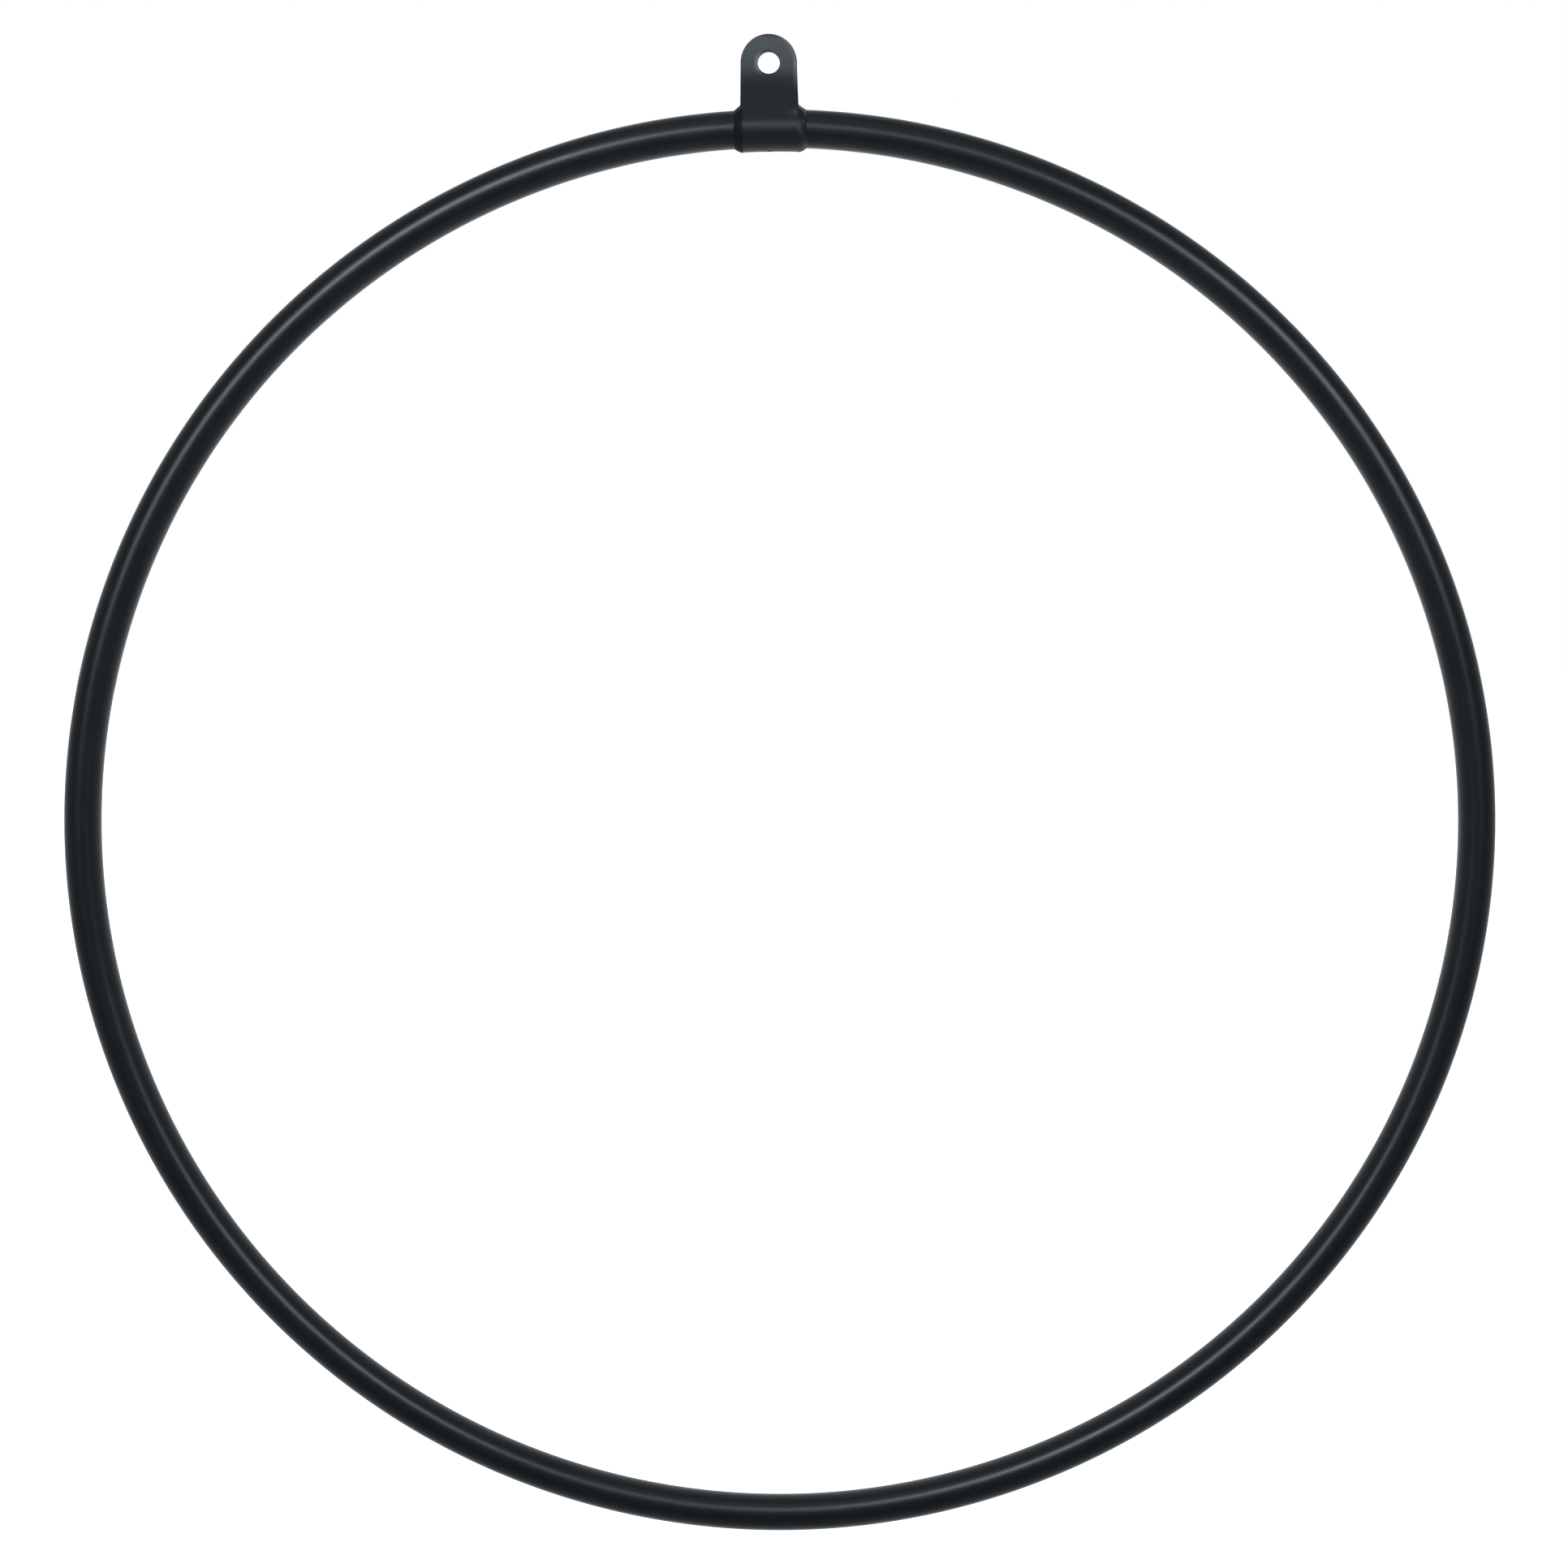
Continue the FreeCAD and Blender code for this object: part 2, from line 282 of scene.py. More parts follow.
def face_lifts(x, along):
    """Distances of the strap's outer and inner faces from its inner side, with edges rounded."""
    outline, hole, vent, height = pattern_distances(x, along)
    upper = smoothstep(height, *BECOMES_TAB)
    right = smoothstep(x, *RIM_SIDES)
    rim_width = LEFT_RIM_WIDTH + right * (RIM_WIDTH - LEFT_RIM_WIDTH)
    rim_depth = LEFT_RIM_DEPTH + right * (RIM_DEPTH - LEFT_RIM_DEPTH)
    width = LOW_RIM_WIDTH + upper * (rim_width - LOW_RIM_WIDTH)
    depth = LOW_RIM_DEPTH + upper * (rim_depth - LOW_RIM_DEPTH)
    outer = THICKNESS - round_off(outline, width, depth)
    outer -= round_off(hole, HOLE_ROUND_WIDTH, HOLE_ROUND_DEPTH)
    outer -= round_off(vent, VENT_ROUND, VENT_ROUND)
    bevel = np.clip(BEVEL - outline, 0, None) * smoothstep(height, *BEVEL_FADE)
    return outer, bevel


def strap_z(x, height):
    """Height in the frame of a point of the strap, which bends along the ring near the tube."""
    sag = ring_z(0, height) - ring_z(x, height)
    return TUBE_TOP_Z + height - sag * (1 - smoothstep(height, *FOLLOWS_RING))


def bulge(x, height):
    """How far the front leg is drawn out at a place on it."""
    aside, up = (x - BULGE_AT[0]) / BULGE_SIZE[0], (height - BULGE_AT[1]) / BULGE_SIZE[1]
    return BULGE * np.exp(-(aside**2) - up**2)


def to_frame(x, along, lift):
    """Folds points of the pattern and bends them along the ring, as columns x, y, z."""
    y, height = fold(along, lift)
    y = np.where(along > 0, y - bulge(x, height), y)
    return np.stack([x, y, strap_z(x, height)], 1)


def column_shares():
    """Places across the strap from -1 to 1, crowded towards its edges."""
    inward = 1 - np.array(EDGE_STEPS) / 1000 / STRAP_HALF_WIDTH
    return np.concatenate([-inward, [0.0], inward[::-1]])


class Pattern:
    """Collects the flat pattern's vertices, as (x, along) pairs, and its quads."""

    def __init__(self):
        self.index = {}
        self.points = []
        self.quads = []

    def vertex(self, x, along):
        key = (round(x * 1e7), round(along * 1e7))
        if key not in self.index:
            self.index[key] = len(self.points)
            self.points.append((x, along))
        return self.index[key]

    def grid(self, rows, closed):
        """Adds quads between rows of points, each row closed into a loop or not."""
        ids = [[self.vertex(*p) for p in row] for row in rows]
        count = len(ids[0])
        for low, high in zip(ids, ids[1:]):
            for j in range(count if closed else count - 1):
                k = (j + 1) % count
                self.quads.append((low[j], low[k], high[k], high[j]))


def loop_between(outer, centre, radius, outer_steps, inner_steps):
    """Rows of points from a closed outline in to a circle, crowded at the circle and outline."""
    outer = np.array(outer)
    direction = outer - centre
    direction /= np.linalg.norm(direction, axis=1)[:, None]
    circle = centre + radius * direction
    span = np.min(np.linalg.norm(outer - circle, axis=1))
    inner = [1 - step / 1000 / span for step in inner_steps]
    shares = [step / 1000 / span for step in outer_steps]
    shares = [share for share in shares if share < inner[-1] - STEPS_APART]
    return [outer + share * (circle - outer) for share in shares + inner[::-1]]


def sides_to(start, end, steps):
    """Points along the strap's right and left outlines, from start to end."""
    along = np.linspace(start, end, steps + 1)
    _, height = fold(along, np.full_like(along, THICKNESS / 2))
    width = half_width(height)
    return [(w, a) for w, a in zip(width, along)], [(-w, a) for w, a in zip(width, along)]


def across(along, shares):
    """Points in a row across the strap, at shares of its half width."""
    _, height = fold(np.array([abs(along)]), np.array([THICKNESS / 2]))
    return [(share * float(half_width(height)[0]), along) for share in shares]


def make_pattern():
    """The flat strap: a vent hole in the middle, and at each end a round tab with a hang hole."""
    pattern = Pattern()
    shares = column_shares()
    vent_reach = STRAP_HALF_WIDTH
    tab_from = HOLE_ALONG - TAB_RADIUS

    right, left = sides_to(-vent_reach, vent_reach, 2 * SIDE_STEPS)
    bottom, top = across(-vent_reach, shares), across(vent_reach, shares)
    square = bottom[:-1] + right[:-1] + top[:0:-1] + left[:0:-1]
    pattern.grid(loop_between(square, (0, 0), VENT_RADIUS, EDGE_STEPS, VENT_STEPS), True)

    rows = int(round((tab_from - vent_reach) / ROW_LENGTH))
    for sign in (1, -1):
        places = [vent_reach + (tab_from - vent_reach) * i / rows for i in range(rows + 1)]
        strip = [across(sign * place, shares) for place in places]
        pattern.grid(strip[::sign], False)
        right, left = sides_to(tab_from, HOLE_ALONG, SIDE_STEPS)
        turn = np.linspace(0, math.pi, ROUND_STEPS + 1)[1:-1]
        cap = [(TAB_RADIUS * math.cos(t), HOLE_ALONG + TAB_RADIUS * math.sin(t)) for t in turn]
        loop = across(tab_from, shares)[:-1] + right + cap + left[:0:-1]
        loop = [(x, sign * along) for x, along in loop][::sign]
        centre = (0, sign * HOLE_ALONG)
        pattern.grid(loop_between(loop, centre, HOLE_RADIUS, EDGE_STEPS, HOLE_STEPS), True)
    return pattern


def boundary_edges(quads):
    """Edges that belong to one quad only, each in that quad's own direction."""
    seen = {}
    for quad in quads:
        for a, b in zip(quad, quad[1:] + quad[:1]):
            seen[(a, b)] = True
    return [(a, b) for a, b in seen if (b, a) not in seen]


WALL_SHARES = (0.12, 0.5, 0.88)  # extra vertices down the strap's cut edges


def make_strap(material):
    """The pattern's outer and inner faces folded into place, with cut edges between them."""
    pattern = make_pattern()
    x, along = np.array(pattern.points).T
    outer, inner = face_lifts(x, along)
    count = len(x)
    layers = [to_frame(x, along, outer)]
    for share in WALL_SHARES:
        layers.append(to_frame(x, along, outer + share * (inner - outer)))
    layers.append(to_frame(x, along, inner))
    edges = boundary_edges(pattern.quads)
    faces = list(pattern.quads)
    faces += [tuple(v + count * (len(layers) - 1) for v in quad[::-1]) for quad in pattern.quads]
    for level in range(len(layers) - 1):
        for a, b in edges:
            low, high = level * count, (level + 1) * count
            faces.append((b + low, a + low, a + high, b + high))
    verts, faces = without_loose(np.concatenate(layers), faces)
    piece("hanging_strap", verts, faces, "hanger_strap", material)


def without_loose(verts, faces):
    """Drops vertices that no face uses."""
    used = np.unique(np.array([v for face in faces for v in face]))
    new = -np.ones(len(verts), int)
    new[used] = np.arange(len(used))
    return verts[used], [tuple(int(new[v]) for v in face) for face in faces]


# Welds -------------------------------------------------------------------------------------

BEAD_TURNS = 360
BEAD_PROFILE = 22
RIPPLE_LENGTH = 0.0017
RIPPLE_HEIGHT = 0.00007
SINK = 0.00012  # how far a weld's edge lies under the face it runs out on
ROOT_RADIUS = TUBE_RADIUS - 0.0002  # where a bead has fused into the tube
ROOT_SHARE = 0.97  # of a bead's reach, to which it has fused
SADDLE_FULLNESS = 0.75  # over the tube's top the beads are hollow
TOP_UNEVENNESS = 0.00005
REACH_UNEVENNESS = 0.035  # share of a bead's reach
LAP_UNEVENNESS = 0.12  # share of its lap
CRESCENT = 0.9  # how many ripples a ripple lags at the bead's foot
WANDER = 0.8  # how much the ripples' spacing varies, in radians
LUMP = 0.0008
LUMP_AT = (0.0045, math.pi - math.radians(20))  # beyond the strap, and an angle round the tube
LUMP_SIZE = (0.0018, 0.0045)
LAP_HEIGHT = 0.00015  # of a bead above the strap's edge that it covers
LAP_RISE = 0.3  # share of the lap that is left where the bead has risen to its crest
LAP_FALL = 0.35  # share of the lap that is left where it begins to fall to the tube
LAP_ENDS = (math.radians(40), math.radians(54))  # elevations where a bead leaves the strap's edge
LEG_END = math.radians(60)  # above the leg's foot, past the highest point that a bead reaches


def leg_face_radius(elevation):
    """Distance of the strap's outer face from the tube's centre, at an elevation round it."""
    past = np.clip(elevation - LEG_SLOPE, 0, LEG_END)
    return WRAP_RADIUS / np.cos(past)


def bead_height(elevation):
    """Radius of the bead's top at the strap's edge, rising to the saddle over the tube."""
    crown = SADDLE_Z - TUBE_TOP_Z - SINK
    return np.minimum(leg_face_radius(elevation) - SINK, crown)


def lump(beyond, turn):
    """How far the right bead stands out further, at the lump on its front."""
    along, round_tube = beyond - LUMP_AT[0], (turn - LUMP_AT[1]) * WRAP_RADIUS
    return LUMP * np.exp(-((along / LUMP_SIZE[0]) ** 2) - (round_tube / LUMP_SIZE[1]) ** 2)


def make_strap_weld(side, lap, reach, fullness, node, name, material):
    """A fillet bead all round the tube at one edge of the strap.

    lap is how far it covers the strap's edge, reach how far it runs along the tube, and fullness
    is 1 where the bead is straight-faced and more where it is convex.
    """
    turn = np.arange(BEAD_TURNS) * 2 * math.pi / BEAD_TURNS
    elevation = np.arcsin(np.sin(turn))
    top = bead_height(elevation) + waves(turn, 11 + side, 9, TOP_UNEVENNESS)
    reach = reach * (1 + waves(turn, 31 + side, 13, REACH_UNEVENNESS))
    on_strap = 1 - smoothstep(elevation, *LAP_ENDS)
    fullness = SADDLE_FULLNESS + on_strap * (fullness - SADDLE_FULLNESS)
    lap = SINK + lap * on_strap * (1 + waves(turn, 91 + side, 15, LAP_UNEVENNESS))
    rows = []
    for step in range(BEAD_PROFILE + 1):
        share = step / BEAD_PROFILE
        swell = 4 * share * (1 - share)
        phase = 2 * math.pi * (turn * WRAP_RADIUS / RIPPLE_LENGTH + CRESCENT * share**2)
        ripple = RIPPLE_HEIGHT * swell * np.sin(phase + waves(turn, 51 + side, 17, WANDER))
        beyond = share * (reach + lap) - lap
        crest = top + on_strap * (SINK + LAP_HEIGHT) * smoothstep(beyond, -lap, -LAP_RISE * lap)
        fallen = np.clip((beyond + LAP_FALL * lap) / (reach + LAP_FALL * lap), 0, 1)
        radius = TUBE_RADIUS + (crest - TUBE_RADIUS) * (1 - fallen**fullness) + ripple
        if side > 0:
            radius += lump(beyond, turn)
        rows.append(bead_ring(side, beyond, radius - SINK / 3 * share, turn))
    rows.append(bead_ring(side, ROOT_SHARE * reach, ROOT_RADIUS, turn))
    rows.append(bead_ring(side, 0, ROOT_RADIUS, turn))
    rows.append(bead_ring(side, 0, top - LOW_RIM_DEPTH, turn))
    faces = grid_faces(len(rows), BEAD_TURNS, closed_rows=True, closed_columns=True)
    if side < 0:
        faces = [face[::-1] for face in faces]
    piece(name, np.concatenate(rows), faces, node, material)


def bead_ring(side, beyond, radius, turn):
    """One loop of a bead's vertices round the tube, a distance beyond the strap's edge."""
    x = STRAP_HALF_WIDTH + beyond + np.zeros_like(turn)
    height = radius * np.sin(turn)
    return np.stack([side * x, radius * np.cos(turn), ring_z(x, height)], 1)


GAP_ROWS = 110
GAP_COLUMNS = 17
GAP_DISH = 0.00035  # how hollow the gap welds are low down
GAP_INSET = 0.00003
GAP_CRESCENT = 0.35  # how many ripples a ripple lags at the gap weld's edges
GAP_GRINDING = 0.7  # share of its ripples that is ground away beside the tab


def inner_face_y(height):
    """Half the opening between the legs' inner faces, at a height above the tube's centre."""
    leaves = TUBE_RADIUS * math.cos(LEG_SLOPE)
    straight = leaves - (height - TUBE_RADIUS * math.sin(LEG_SLOPE)) * math.tan(LEG_SLOPE)
    drop = np.clip(BEND_HEIGHT - height, 0, BEND_OUTSIDE * math.sin(LEG_SLOPE))
    bent = -BEND_Y - np.sqrt(BEND_OUTSIDE**2 - drop**2)
    bend_from = BEND_HEIGHT - BEND_OUTSIDE * math.sin(LEG_SLOPE)
    return np.where(height < bend_from, straight, bent)


def make_gap_weld(side, node, name, material):
    """The weld that closes the opening between the legs on one side of the tab."""
    low = TUBE_RADIUS * math.sin(LEG_SLOPE)
    leaves = TUBE_RADIUS * math.cos(LEG_SLOPE)
    across_share = np.linspace(-1, 1, GAP_COLUMNS)
    arch = np.sqrt(TUBE_RADIUS**2 - (across_share * leaves) ** 2) - low
    faces_xyz = []
    for depth_share in (0, 0.5, 1):
        rows = []
        for up in np.linspace(0, 1, GAP_ROWS):
            base = low + up * (HOLE_HEIGHT - low)
            height = base + arch * (1 - up) ** 3
            begun = smoothstep(np.array(base), *BEVEL_FADE)
            opening = inner_face_y(np.array(base))
            depth = BEVEL + (1 - begun) * (GAP_WELD_DEPTH - BEVEL)
            bevel = BEVEL * begun * max(0.0, 1 - depth_share * depth / BEVEL)
            y = across_share * (opening + bevel)
            y -= np.clip(-across_share, 0, 1) * bulge(side * half_width(height), height)
            ripple = np.sin(2 * math.pi * (height / RIPPLE_LENGTH - GAP_CRESCENT * across_share**2))
            dish = GAP_DISH * (1 - begun) * (1 - across_share**2)
            face_x = half_width(height) - dish - GAP_INSET
            face_x += RIPPLE_HEIGHT * ripple * (1 - across_share**2) * (1 - GAP_GRINDING * begun)
            x = face_x - depth_share * depth
            rows.append(np.stack([side * x, y, strap_z(x, height)], 1))
        faces_xyz.append(np.concatenate(rows))
    closed_slab(faces_xyz, GAP_ROWS, GAP_COLUMNS, side, name, node, material)


def closed_slab(layers, rows, columns, side, name, node, material):
    """A solid between a front grid and a back one, with the layers between as its edge."""
    count = rows * columns
    faces = grid_faces(rows, columns)
    back = grid_faces(rows, columns, first=count * (len(layers) - 1))
    faces += [face[::-1] for face in back]
    rim = list(range(columns))
    rim += [i * columns + columns - 1 for i in range(1, rows)]
    rim += [(rows - 1) * columns + j for j in range(columns - 2, -1, -1)]
    rim += [i * columns for i in range(rows - 2, 0, -1)]
    for level in range(len(layers) - 1):
        for a, b in zip(rim, rim[1:] + rim[:1]):
            low, high = level * count, (level + 1) * count
            faces.append((b + low, a + low, a + high, b + high))
    if side < 0:
        faces = [face[::-1] for face in faces]
    verts, faces = without_loose(np.concatenate(layers), faces)
    piece(name, verts, faces, node, material)


SEAM_STEPS = 160
SEAM_ACROSS = 8
SEAM_CROWN = 0.00006
SEAM_UNEVEN = 0.000018


def make_seam_weld(material):
    """The seam between the legs round the tab's top, ground nearly flush with the rim."""
    turn = np.linspace(0, math.pi, SEAM_STEPS + 1)
    opening = inner_face_y(HOLE_HEIGHT + TAB_RADIUS * np.sin(turn))
    rings = []
    for share in np.linspace(-1, 1, SEAM_ACROSS + 1):
        raised = (SEAM_CROWN + waves(2 * turn, 71, 21, SEAM_UNEVEN)) * (1 - share**2)
        rings.append(seam_ring(turn, TAB_RADIUS + raised, share * (opening + BEVEL)))
    rings.append(seam_ring(turn, TAB_RADIUS - BEVEL, opening))
    rings.append(seam_ring(turn, TAB_RADIUS - BEVEL, -opening))
    faces = grid_faces(len(rings), SEAM_STEPS + 1, closed_rows=True)
    faces.append([i * (SEAM_STEPS + 1) for i in range(len(rings))])
    faces.append([i * (SEAM_STEPS + 1) + SEAM_STEPS for i in range(len(rings) - 1, -1, -1)])
    faces = [face[::-1] for face in faces]
    piece("tab_seam", np.concatenate(rings), faces, "tab_seam_weld", material)


def seam_ring(turn, radius, y):
    """One line of the seam's vertices round the tab's top."""
    return np.stack([radius * np.cos(turn), y, radius * np.sin(turn)], 1)


# Materials ---------------------------------------------------------------------------------


def new_material(name):
    material = bpy.data.materials.new(name)
    material.use_nodes = True
    tree = material.node_tree
    shader = tree.nodes["Principled BSDF"]
    coords = tree.nodes.new("ShaderNodeTexCoord")
    return material, tree, shader, coords.outputs["Object"]


def noise(tree, coords, scale, detail, roughness=0.5):
    node = tree.nodes.new("ShaderNodeTexNoise")
    node.inputs["Scale"].default_value = scale
    node.inputs["Detail"].default_value = detail
    node.inputs["Roughness"].default_value = roughness
    tree.links.new(coords, node.inputs["Vector"])
    return node.outputs["Fac"]


def ramp(tree, value, stops):
    """A colour ramp through (place, colour) stops, where a colour may be one grey number."""
    node = tree.nodes.new("ShaderNodeValToRGB")
    elements = node.color_ramp.elements
    while len(elements) < len(stops):
        elements.new(0.5)
    for element, (place, colour) in zip(elements, stops):
        if not isinstance(colour, tuple):
            colour = (colour, colour, colour)
        element.position = place
        element.color = (*colour, 1)
    tree.links.new(value, node.inputs["Fac"])
    return node.outputs["Color"]


def bump(tree, height, distance, strength, below=None):
    """A bump of a height's distance in metres, laid over another bump's normal if one is given."""
    node = tree.nodes.new("ShaderNodeBump")
    node.inputs["Distance"].default_value = distance
    node.inputs["Strength"].default_value = strength
    tree.links.new(height, node.inputs["Height"])
    if below is not None:
        tree.links.new(below, node.inputs["Normal"])
    return node.outputs["Normal"]


def powder_coat(name, dark, light, rough, peel, shine=0.5):
    """Satin black powder coat: fine orange peel, small changes of tone and gloss, pale specks.

    dark and light bound its colour, rough its roughness, peel is the orange peel's strength and
    shine the strength of its reflections.
    """
    material, tree, shader, coords = new_material(name)
    cloud = noise(tree, coords, 38, 4)
    grain = noise(tree, coords, 900, 2)
    tone = ramp(tree, cloud, [(0.3, dark), (0.72, light)])
    speck = ramp(tree, noise(tree, coords, 2600, 1), [(0.74, 0.0), (0.82, 0.055)])
    mix = tree.nodes.new("ShaderNodeMix")
    mix.data_type = "RGBA"
    mix.blend_type = "ADD"
    mix.inputs["Factor"].default_value = 1.0
    tree.links.new(tone, mix.inputs["A"])
    tree.links.new(speck, mix.inputs["B"])
    tree.links.new(mix.outputs["Result"], shader.inputs["Base Color"])
    gloss = ramp(tree, noise(tree, coords, 65, 5, 0.6), [(0.25, rough[0]), (0.75, rough[1])])
    tree.links.new(gloss, shader.inputs["Roughness"])
    wide_peel = bump(tree, noise(tree, coords, 420, 2), 0.00008, 0.25 * peel)
    fine_peel = bump(tree, grain, 0.00003, 0.4 * peel, wide_peel)
    tree.links.new(fine_peel, shader.inputs["Normal"])
    shader.inputs["Specular IOR Level"].default_value = shine
    return material


def fade(tree, value, low, high):
    """0 where value is below low and 1 where it is above high, with a smooth change between."""
    node = tree.nodes.new("ShaderNodeMapRange")
    node.interpolation_type = "SMOOTHSTEP"
    node.inputs["From Min"].default_value = low
    node.inputs["From Max"].default_value = high
    tree.links.new(value, node.inputs["Value"])
    return node.outputs["Result"]


def product(tree, a, b):
    node = tree.nodes.new("ShaderNodeMath")
    node.operation = "MULTIPLY"
    tree.links.new(a, node.inputs[0])
    tree.links.new(b, node.inputs[1])
    return node.outputs["Value"]


def blend_in(material, mask, colour):
    """Mixes a colour into a material's base colour where the mask is 1."""
    tree = material.node_tree
    base = tree.nodes["Principled BSDF"].inputs["Base Color"]
    mix = tree.nodes.new("ShaderNodeMix")
    mix.data_type = "RGBA"
    tree.links.new(mask, mix.inputs["Factor"])
    tree.links.new(base.links[0].from_socket, mix.inputs["A"])
    mix.inputs["B"].default_value = (*colour, 1)
    tree.links.new(mix.outputs["Result"], base)


def flat_length(tree, x, z):
    """Length of the vector whose parts are x and z."""
    joined = tree.nodes.new("ShaderNodeCombineXYZ")
    tree.links.new(x, joined.inputs["X"])
    tree.links.new(z, joined.inputs["Z"])
    length = tree.nodes.new("ShaderNodeVectorMath")
    length.operation = "LENGTH"
    tree.links.new(joined.outputs["Vector"], length.inputs[0])
    return length.outputs["Value"]


# Painted sheen, partly wear: the coat is painted paler towards the tab's top, up and a little to the
# right, where the lights' reflection falls.
SHEEN_AND_WEAR_HEIGHTS = (-0.015, 0.015)  # between which the coat is painted paler towards the top of the tab
SHEEN_AND_WEAR_TOWARDS = (0.2, 0.0, 1.0)  # up and a little to the right
SHEEN_AND_WEAR_COLOUR = (0.060, 0.067, 0.074)
# Painted highlights: the tab's right rim and the hole's left edge are painted paler where a light from
# the right catches them.
RIM_HIGHLIGHT = (TAB_RADIUS - 0.0036, TAB_RADIUS - 0.0010)  # distances from the hole's centre
RIM_HIGHLIGHT_SIDE = (0.002, 0.015)  # places to the right between which the rim's painted highlight begins
RIM_HIGHLIGHT_HEIGHTS = (-0.022, -0.001)
PAINTED_HIGHLIGHT_COLOUR = (0.165, 0.185, 0.198)
HOLE_HIGHLIGHT = (HOLE_RADIUS + 0.0030, HOLE_RADIUS + 0.0008)
HOLE_HIGHLIGHT_SIDE = (-0.0040, -0.0085)  # places to the left between which the hole's painted highlight begins


def add_tab_sheen_wear_and_highlights(material):
    """Paints the coat paler towards the tab's top, as a painted sheen that is partly wear, and paints
    highlights on its right rim and at the hole's left edge.
    """
    tree = material.node_tree
    coords = tree.nodes.new("ShaderNodeTexCoord").outputs["Object"]
    split = tree.nodes.new("ShaderNodeSeparateXYZ")
    tree.links.new(coords, split.inputs["Vector"])
    x, z = split.outputs["X"], split.outputs["Z"]
    tilted = tree.nodes.new("ShaderNodeVectorMath")
    tilted.operation = "DOT_PRODUCT"
    tilted.inputs[1].default_value = SHEEN_AND_WEAR_TOWARDS
    tree.links.new(coords, tilted.inputs[0])
    # Painted sheen, partly wear: paler towards the top of the tab, broken up by noise.
    upper = fade(tree, tilted.outputs["Value"], *SHEEN_AND_WEAR_HEIGHTS)
    sheen_and_wear_patches = ramp(tree, noise(tree, coords, 160, 5, 0.62), [(0.3, 0.78), (0.7, 1.0)])
    blend_in(material, product(tree, upper, sheen_and_wear_patches), SHEEN_AND_WEAR_COLOUR)

    above = tree.nodes.new("ShaderNodeMath")
    above.operation = "MAXIMUM"
    above.inputs[1].default_value = 0.0
    tree.links.new(z, above.inputs[0])
    # Painted highlight on the tab's right rim, broken up by noise.
    rim = fade(tree, flat_length(tree, x, above.outputs["Value"]), *RIM_HIGHLIGHT)
    right = product(tree, fade(tree, x, *RIM_HIGHLIGHT_SIDE), fade(tree, z, *RIM_HIGHLIGHT_HEIGHTS))
    highlight_patches = ramp(tree, noise(tree, coords, 240, 4, 0.6), [(0.35, 0.6), (0.65, 1.0)])
    blend_in(material, product(tree, product(tree, rim, right), highlight_patches), PAINTED_HIGHLIGHT_COLOUR)

    # Painted highlight at the hole's left edge.
    round_hole = fade(tree, flat_length(tree, x, z), *HOLE_HIGHLIGHT)
    blend_in(
        material, product(tree, round_hole, fade(tree, x, *HOLE_HIGHLIGHT_SIDE)), PAINTED_HIGHLIGHT_COLOUR
    )


def bare_steel(name, dark, light, rough):
    """Drawn or ground steel inside the tube, with lines and faint heat staining."""
    material, tree, shader, coords = new_material(name)
    stretch = tree.nodes.new("ShaderNodeMapping")
    stretch.inputs["Scale"].default_value = (1.0, 30.0, 30.0)
    tree.links.new(coords, stretch.inputs["Vector"])
    lines = noise(tree, stretch.outputs["Vector"], 120, 4, 0.7)
    stain = noise(tree, coords, 70, 3)
    tone = ramp(tree, stain, [(0.3, dark), (0.7, light)])
    tree.links.new(tone, shader.inputs["Base Color"])
    gloss = ramp(tree, lines, [(0.3, rough[0]), (0.7, rough[1])])
    tree.links.new(gloss, shader.inputs["Roughness"])
    tree.links.new(bump(tree, lines, 0.00003, 0.4), shader.inputs["Normal"])
    shader.inputs["Metallic"].default_value = 1.0
    return material


def floor_white(name):
    material, tree, shader, coords = new_material(name)
    tone = ramp(tree, noise(tree, coords, 1.5, 3), [(0.3, 0.88), (0.7, 0.9)])
    tree.links.new(tone, shader.inputs["Base Color"])
    shader.inputs["Roughness"].default_value = 0.9
    shader.inputs["Specular IOR Level"].default_value = 0.1
    shader.inputs["Emission Color"].default_value = (1, 1, 1, 1)
    shader.inputs["Emission Strength"].default_value = FLOOR_GLOW
    return material


# Floor, lights and camera ------------------------------------------------------------------

FLOOR_DROP = 1.2  # below the bottom of the hoop
FLOOR_RADIUS = 30.0
FLOOR_SIDES = 64
FLOOR_GLOW = 1.0
BACKGROUND = 1.0  # what the camera sees past the floor
LIGHT_COLOUR = (0.86, 0.96, 1.0)
SURROUND_FROM = (0.0, 0.97, -0.22)  # direction of the surround's brightest part
SURROUND = [  # from the darkest part to the brightest
    (0.0, (0.09, 0.11, 0.13)),
    (0.2, (0.11, 0.13, 0.15)),
    (0.36, (0.22, 0.26, 0.28)),
    (0.5, (0.31, 0.35, 0.37)),
    (0.65, (0.42, 0.47, 0.49)),
    (0.95, (0.90, 0.96, 1.0)),
]


def make_floor():
    """A pale floor that the camera sees and that neither lights the hoop nor shows in its coat."""
    z = TUBE_LOW.z - FLOOR_DROP
    turns = [2 * math.pi * i / FLOOR_SIDES for i in range(FLOOR_SIDES)]
    verts = [(FLOOR_RADIUS * math.cos(t), FLOOR_RADIUS * math.sin(t), z) for t in turns]
    mesh = bpy.data.meshes.new("floor")
    mesh.from_pydata(verts, [], [tuple(range(FLOOR_SIDES))])
    floor = bpy.data.objects.new("floor", mesh)
    floor.data.materials.append(floor_white("floor_white"))
    floor.visible_diffuse = False
    floor.visible_glossy = False
    bpy.context.scene.collection.objects.link(floor)


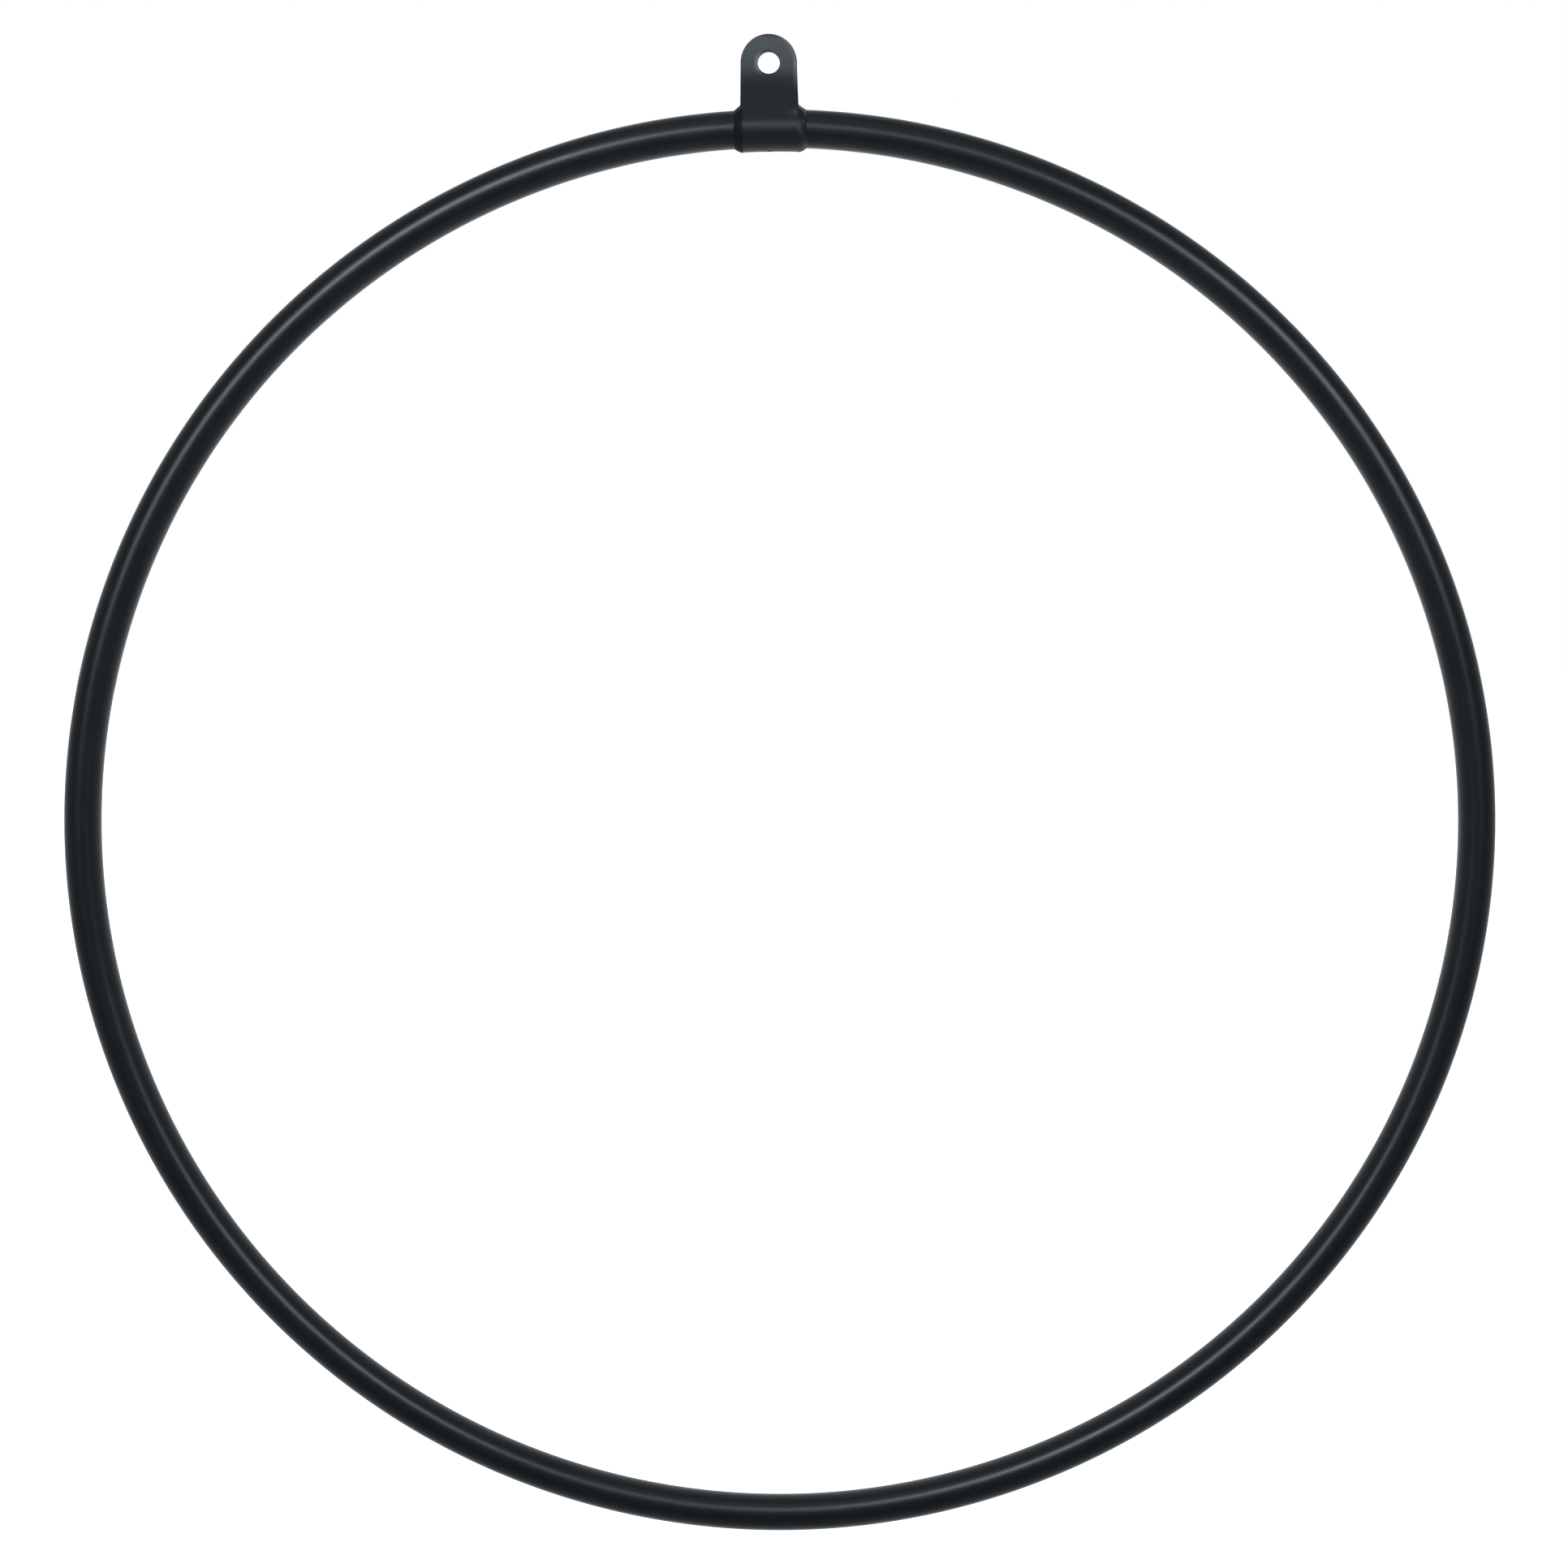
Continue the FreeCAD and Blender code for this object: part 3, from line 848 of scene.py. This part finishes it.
def make_world():
    """A surround that lights the hoop: dark in front, pale behind, and seen as plain white."""
    world = bpy.data.worlds.new("studio")
    bpy.context.scene.world = world
    world.use_nodes = True
    tree = world.node_tree
    tree.nodes.clear()
    coords = tree.nodes.new("ShaderNodeTexCoord")
    facing = tree.nodes.new("ShaderNodeVectorMath")
    facing.operation = "DOT_PRODUCT"
    facing.inputs[1].default_value = SURROUND_FROM
    tree.links.new(coords.outputs["Generated"], facing.inputs[0])
    share = tree.nodes.new("ShaderNodeMapRange")
    share.inputs["From Min"].default_value = -1.0
    tree.links.new(facing.outputs["Value"], share.inputs["Value"])
    path = tree.nodes.new("ShaderNodeLightPath")
    lighting = tree.nodes.new("ShaderNodeBackground")
    tree.links.new(ramp(tree, share.outputs["Result"], SURROUND), lighting.inputs["Color"])
    seen = tree.nodes.new("ShaderNodeBackground")
    seen.inputs["Color"].default_value = (1, 1, 1, 1)
    seen.inputs["Strength"].default_value = BACKGROUND
    mix = tree.nodes.new("ShaderNodeMixShader")
    out = tree.nodes.new("ShaderNodeOutputWorld")
    tree.links.new(path.outputs["Is Camera Ray"], mix.inputs["Fac"])
    tree.links.new(lighting.outputs["Background"], mix.inputs[1])
    tree.links.new(seen.outputs["Background"], mix.inputs[2])
    tree.links.new(mix.outputs["Shader"], out.inputs["Surface"])


def soft_light(name, place, size, power):
    """A round area light that faces the ring's centre, placed relative to that centre."""
    light = bpy.data.lights.new(name, "AREA")
    light.shape = "DISK"
    light.size = size
    light.energy = power
    light.color = LIGHT_COLOUR
    obj = bpy.data.objects.new(name, light)
    centre = Vector((0, 0, RING_Z))
    obj.location = centre + Vector(place)
    obj.rotation_euler = (centre - obj.location).to_track_quat("-Z", "Y").to_euler()
    bpy.context.scene.collection.objects.link(obj)


CAMERA_DISTANCE = 1.75
CAMERA_ELEVATION = math.radians(6)
CAMERA_AZIMUTH = math.radians(0.1)
CAMERA_ROLL = math.radians(-0.8)
CAMERA_AIM = (0.0035, 0.0396)  # right of and above the ring's centre
LENS_PER_WIDTH = 1.5994  # focal length over the picture's width
SENSOR = 36.0


def make_camera():
    """The camera a little above the ring's centre, looking at it almost squarely."""
    data = bpy.data.cameras.new("camera")
    data.sensor_width = SENSOR
    data.lens = SENSOR * LENS_PER_WIDTH
    data.clip_start = 0.05
    data.clip_end = 100
    camera = bpy.data.objects.new("camera", data)
    aim = Vector((CAMERA_AIM[0], 0, RING_Z + CAMERA_AIM[1]))
    level = math.cos(CAMERA_ELEVATION)
    back_x, back_y = math.sin(CAMERA_AZIMUTH) * level, -math.cos(CAMERA_AZIMUTH) * level
    back = Vector((back_x, back_y, math.sin(CAMERA_ELEVATION)))
    facing = (-back).to_track_quat("-Z", "Y").to_matrix()
    turned = facing @ Matrix.Rotation(CAMERA_ROLL, 3, "Z")
    camera.matrix_world = Matrix.Translation(aim + back * CAMERA_DISTANCE) @ turned.to_4x4()
    bpy.context.scene.collection.objects.link(camera)
    bpy.context.scene.camera = camera


# Build -------------------------------------------------------------------------------------

tube_coat = powder_coat(
    "tube_coat",
    dark=(0.0068, 0.0082, 0.0096),
    light=(0.0096, 0.0112, 0.0128),
    rough=(0.29, 0.34),
    peel=0.1,
)
strap_coat = powder_coat(
    "strap_coat",
    dark=(0.0092, 0.0116, 0.0144),
    light=(0.0124, 0.0152, 0.0184),
    rough=(0.34, 0.40),
    peel=0.5,
    shine=0.42,
)
weld_coat = powder_coat(
    "weld_coat",
    dark=(0.0064, 0.0078, 0.0090),
    light=(0.0092, 0.0108, 0.0122),
    rough=(0.36, 0.48),
    peel=1.0,
)
# Painted shade: a darker copy of the weld coat for the left bead, which faces away from the lights; its
# greater roughness is the coat's own.
shaded_matt_weld_coat = powder_coat(
    "shaded_matt_weld_coat",
    dark=(0.0040, 0.0050, 0.0058),
    light=(0.0060, 0.0070, 0.0080),
    rough=(0.55, 0.70),
    peel=1.0,
    shine=0.25,
)
# Painted sheen, partly wear, and painted highlights on the tab.
add_tab_sheen_wear_and_highlights(strap_coat)
add_tab_sheen_wear_and_highlights(weld_coat)
sleeve_steel = bare_steel(
    "sleeve_steel",
    dark=(0.33, 0.33, 0.34),
    light=(0.48, 0.47, 0.47),
    rough=(0.28, 0.45),
)
joint_steel = bare_steel(
    "joint_steel",
    dark=(0.24, 0.22, 0.22),
    light=(0.38, 0.37, 0.36),
    rough=(0.35, 0.55),
)

make_tube(tube_coat)
make_strap(strap_coat)
make_strap_weld(
    side=-1,
    lap=0.0022,
    reach=0.78 * BEAD_REACH,
    fullness=1.3,
    node="strap_weld_left",
    name="strap_bead_left",
    # the left bead's darker colour is painted shade
    material=shaded_matt_weld_coat,
)
make_strap_weld(
    side=1,
    lap=0.0010,
    reach=0.92 * BEAD_REACH,
    fullness=1.7,
    node="strap_weld_right",
    name="strap_bead_right",
    material=weld_coat,
)
make_gap_weld(-1, "gap_weld_left", "gap_fill_left", weld_coat)
make_gap_weld(1, "gap_weld_right", "gap_fill_right", weld_coat)
make_seam_weld(weld_coat)

for node, material in (("joint_sleeve", sleeve_steel), ("butt_weld", joint_steel)):
    for slot in frame["nodes"][node].material_slots:
        slot.material = material

make_floor()
make_world()
soft_light("upper_left", (-0.62, -2.0, 1.07), size=0.75, power=12.7)
soft_light("upper_middle", (0.20, -2.0, 1.0), size=0.6, power=1.5)
soft_light("upper_right", (0.82, -1.59, 0.58), size=0.75, power=7.3)
soft_light("far_left", (-1.09, -2.0, 0.60), size=0.75, power=7.3)
soft_light("overhead", (0.0, -1.6, 2.4), size=2.0, power=3)
make_camera()

bpy.context.scene.view_settings.view_transform = "Standard"
